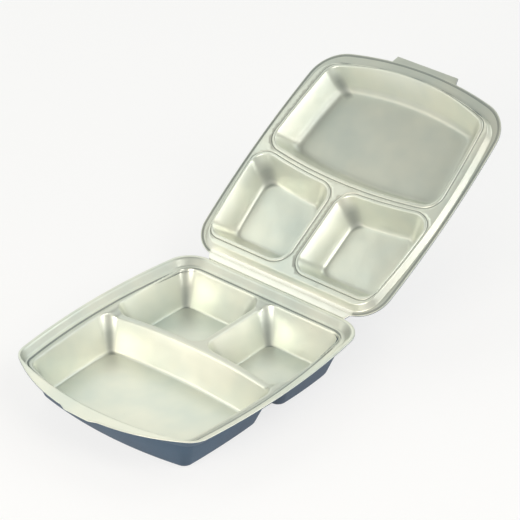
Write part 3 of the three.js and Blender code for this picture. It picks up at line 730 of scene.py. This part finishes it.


# Pressed foam: a soft cloudy colour, a fine cell texture and slow waves in the surface. The mesh's
# painted shading darkens the tone above 0 (painted shade) and turns it paler below 0 (painted light).
def foamMaterial(name, finish):
    material = bpy.data.materials.new(name)
    material.use_nodes = True
    tree = material.node_tree
    tree.nodes.clear()
    link = tree.links.new
    out = node(tree, "ShaderNodeOutputMaterial")
    shader = node(tree, "ShaderNodeBsdfPrincipled", Metallic=finish["metallic"], IOR=1.5)
    place = node(tree, "ShaderNodeTexCoord").outputs["Object"]
    cloud = node(tree, "ShaderNodeTexNoise", **foamTexture["cloud"])
    link(place, cloud.inputs["Vector"])
    tone = node(tree, "ShaderNodeValToRGB")
    deepEnd, paleEnd = tone.color_ramp.elements
    deepEnd.position, paleEnd.position = foamTexture["deepAt"], foamTexture["paleAt"]
    deepEnd.color, paleEnd.color = (*finish["deep"], 1), (*finish["pale"], 1)
    link(cloud.outputs["Fac"], tone.inputs["Fac"])

    # colour: mixes take their factor at socket 0 and their two colours at 6 and 7
    values = node(tree, "ShaderNodeAttribute", attribute_name="drawn", attribute_type="GEOMETRY")
    drawn = values.outputs["Fac"]
    paintedShadeAmount = node(tree, "ShaderNodeMath", operation="MAXIMUM")
    link(drawn, paintedShadeAmount.inputs[0])
    paintedShadeAmount.inputs[1].default_value = 0.0
    shade = node(tree, "ShaderNodeMix", data_type="RGBA", blend_type="MULTIPLY", clamp_factor=True)
    link(paintedShadeAmount.outputs[0], shade.inputs[0])
    link(tone.outputs["Color"], shade.inputs[6])
    shade.inputs[7].default_value = (*finish["drawn"], 1)
    pressed = node(tree, "ShaderNodeMath", operation="MULTIPLY", use_clamp=True)
    link(drawn, pressed.inputs[0])
    pressed.inputs[1].default_value = -1.0
    lightenedTone = node(tree, "ShaderNodeMix", data_type="RGBA", clamp_factor=True)
    link(pressed.outputs[0], lightenedTone.inputs[0])
    link(shade.outputs[2], lightenedTone.inputs[6])
    lightenedTone.inputs[7].default_value = (*finish["pressed"], 1)
    link(lightenedTone.outputs[2], shader.inputs["Base Color"])

    # roughness: a fine grain, and more where shade is painted
    grain = node(tree, "ShaderNodeTexNoise", **foamTexture["grain"])
    link(place, grain.inputs["Vector"])
    spread = node(tree, "ShaderNodeMapRange")
    spread.inputs["To Min"].default_value = finish["roughness"] - foamTexture["smoother"]
    spread.inputs["To Max"].default_value = finish["roughness"] + foamTexture["rougher"]
    link(grain.outputs["Fac"], spread.inputs["Value"])
    matt = node(tree, "ShaderNodeMath", operation="MULTIPLY_ADD", use_clamp=True)
    link(paintedShadeAmount.outputs[0], matt.inputs[0])
    matt.inputs[1].default_value = finish["drawnMatt"]
    link(spread.outputs["Result"], matt.inputs[2])
    link(matt.outputs[0], shader.inputs["Roughness"])

    # surface: slow waves under the cells
    waves = node(tree, "ShaderNodeTexNoise", **foamTexture["waves"])
    link(place, waves.inputs["Vector"])
    slow = node(tree, "ShaderNodeBump", Strength=finish["wobble"], Distance=foamTexture["waveDepth"])
    link(waves.outputs["Fac"], slow.inputs["Height"])
    cells = node(tree, "ShaderNodeTexVoronoi", **foamTexture["cells"])
    link(place, cells.inputs["Vector"])
    bump = node(tree, "ShaderNodeBump", Strength=finish["cells"], Distance=foamTexture["cellDepth"])
    link(cells.outputs["Distance"], bump.inputs["Height"])
    link(slow.outputs["Normal"], bump.inputs["Normal"])
    link(bump.outputs["Normal"], shader.inputs["Normal"])
    link(shader.outputs["BSDF"], out.inputs["Surface"])
    return material


innerFoam = foamMaterial("inner_foam", innerFinish)
outerFoam = foamMaterial("outer_foam", outerFinish)
for piece in (baseFoam, lidFoam):
    piece.data.materials.append(innerFoam)
    piece.data.materials.append(outerFoam)
hingeWeb.data.materials.append(innerFoam)
print("foam materials: pale inside, dark outside")

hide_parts("base_tray")
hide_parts("lid_tray")
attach(baseFoam, "base")
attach(lidFoam, "lid")
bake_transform(hingeWeb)

# "seen" is how white the floor is to the camera by itself, beyond its paint
backdrop = {"half": 6, "below": 0.0002, "paint": (0.93, 0.93, 0.92), "seen": 0.74,
            "worldColour": (0.94, 1.0, 0.98), "worldStrength": 0.16}
half = backdrop["half"]
floorMesh = bpy.data.meshes.new("floor")
floorCorners = [(-half, -half, 0), (half, -half, 0), (half, half, 0), (-half, half, 0)]
floorMesh.from_pydata(floorCorners, [], [(0, 1, 2, 3)])
floor = bpy.data.objects.new("floor", floorMesh)
floor.location.z = -backdrop["below"]
bpy.context.scene.collection.objects.link(floor)


# 1 for rays from the camera, straight or by way of a mirror or a clear thing, and 0 for the rest
def seenDirectly(tree):
    path = node(tree, "ShaderNodeLightPath")
    total = path.outputs["Is Camera Ray"]
    for other in ("Is Glossy Ray", "Is Transmission Ray"):
        more = node(tree, "ShaderNodeMath", operation="ADD", use_clamp=True)
        tree.links.new(total, more.inputs[0])
        tree.links.new(path.outputs[other], more.inputs[1])
        total = more.outputs[0]
    return total


# matt paint with part of it plain white to the camera, which leaves the shadow pale
floorPaint = bpy.data.materials.new("floor_paint")
floorPaint.use_nodes = True
floorTree = floorPaint.node_tree
floorTree.nodes.clear()
matt = node(floorTree, "ShaderNodeBsdfDiffuse", Color=(*backdrop["paint"], 1))
white = node(floorTree, "ShaderNodeEmission", Strength=1.0)
share = node(floorTree, "ShaderNodeMath", operation="MULTIPLY")
share.inputs[1].default_value = backdrop["seen"]
floorTree.links.new(seenDirectly(floorTree), share.inputs[0])
mixed = node(floorTree, "ShaderNodeMixShader")
floorTree.links.new(share.outputs[0], mixed.inputs[0])
floorTree.links.new(matt.outputs[0], mixed.inputs[1])
floorTree.links.new(white.outputs[0], mixed.inputs[2])
floorTree.links.new(mixed.outputs[0], node(floorTree, "ShaderNodeOutputMaterial").inputs["Surface"])
floorMesh.materials.append(floorPaint)

world = bpy.data.worlds.new("studio")
bpy.context.scene.world = world
world.use_nodes = True
worldTree = world.node_tree
worldTree.nodes.clear()
soft = node(worldTree, "ShaderNodeBackground", Color=(*backdrop["worldColour"], 1),
            Strength=backdrop["worldStrength"])
worldTree.links.new(soft.outputs[0], node(worldTree, "ShaderNodeOutputWorld").inputs["Surface"])

# Each lamp's azimuth and elevation in degrees, width and height in metres, power and colour. Azimuth 0
# is in front of the box and 90 on its right.
softLights = {
    "leftHigh": (-68, 46, (0.9, 0.8), 3.5, (0.95, 1.0, 0.95)),
    "left": (-42, 20, (1.25, 0.5), 5.5, (1.0, 0.94, 0.84)),
    "front": (10, 27, (1.1, 0.8), 17, (1.0, 0.92, 0.82)),
    "rightLow": (106, 14, (1.1, 0.6), 8, (1.0, 0.95, 0.90)),
    "right": (84, 42, (1.0, 0.9), 9, (1.0, 0.96, 0.90)),
    "rear": (155, 40, (1.0, 1.0), 6, (0.96, 1.0, 0.97)),
    "rearLeft": (236, 36, (1.3, 1.2), 5.5, (1.0, 0.99, 0.91)),
}
lampDistance = 1.8
lampCentre = Vector((0, creaseY, 0.05))  # what the lamps look at


# unit vector that leads from the box to a place at this azimuth and elevation, in degrees
def direction(azimuth, elevation):
    a, e = math.radians(azimuth), math.radians(elevation)
    return Vector((math.sin(a) * math.cos(e), -math.cos(a) * math.cos(e), math.sin(e)))


# a lamp or the camera, looking back along the direction from its target
def aimed(name, data, target, back, distance):
    holder = bpy.data.objects.new(name, data)
    holder.location = target + back * distance
    holder.rotation_euler = back.to_track_quat("Z", "Y").to_euler()
    bpy.context.scene.collection.objects.link(holder)
    return holder


for name, (azimuth, elevation, size, power, colour) in softLights.items():
    lamp = bpy.data.lights.new(name, "AREA")
    lamp.shape, lamp.size, lamp.size_y = "RECTANGLE", size[0], size[1]
    lamp.energy, lamp.color = power, colour
    aimed(name, lamp, lampCentre, direction(azimuth, elevation), lampDistance)
print(f"studio: {len(softLights)} lamps")

cameraView = {"azimuth": 40.14, "elevation": 31.51, "distance": 2.2455, "lens": 174.45, "sensor": 36,
              "target": (-0.0800, 0.0751, 0.0)}  # target measured from the crease
cameraData = bpy.data.cameras.new("camera")
cameraData.lens, cameraData.sensor_width = cameraView["lens"], cameraView["sensor"]
target = Vector((0, creaseY, 0)) + Vector(cameraView["target"])
bpy.context.scene.camera = aimed("camera", cameraData, target,
                                 direction(cameraView["azimuth"], cameraView["elevation"]),
                                 cameraView["distance"])
bpy.context.scene.view_settings.view_transform = "Standard"

bpy.context.view_layer.update()
print("finished: three pieces")
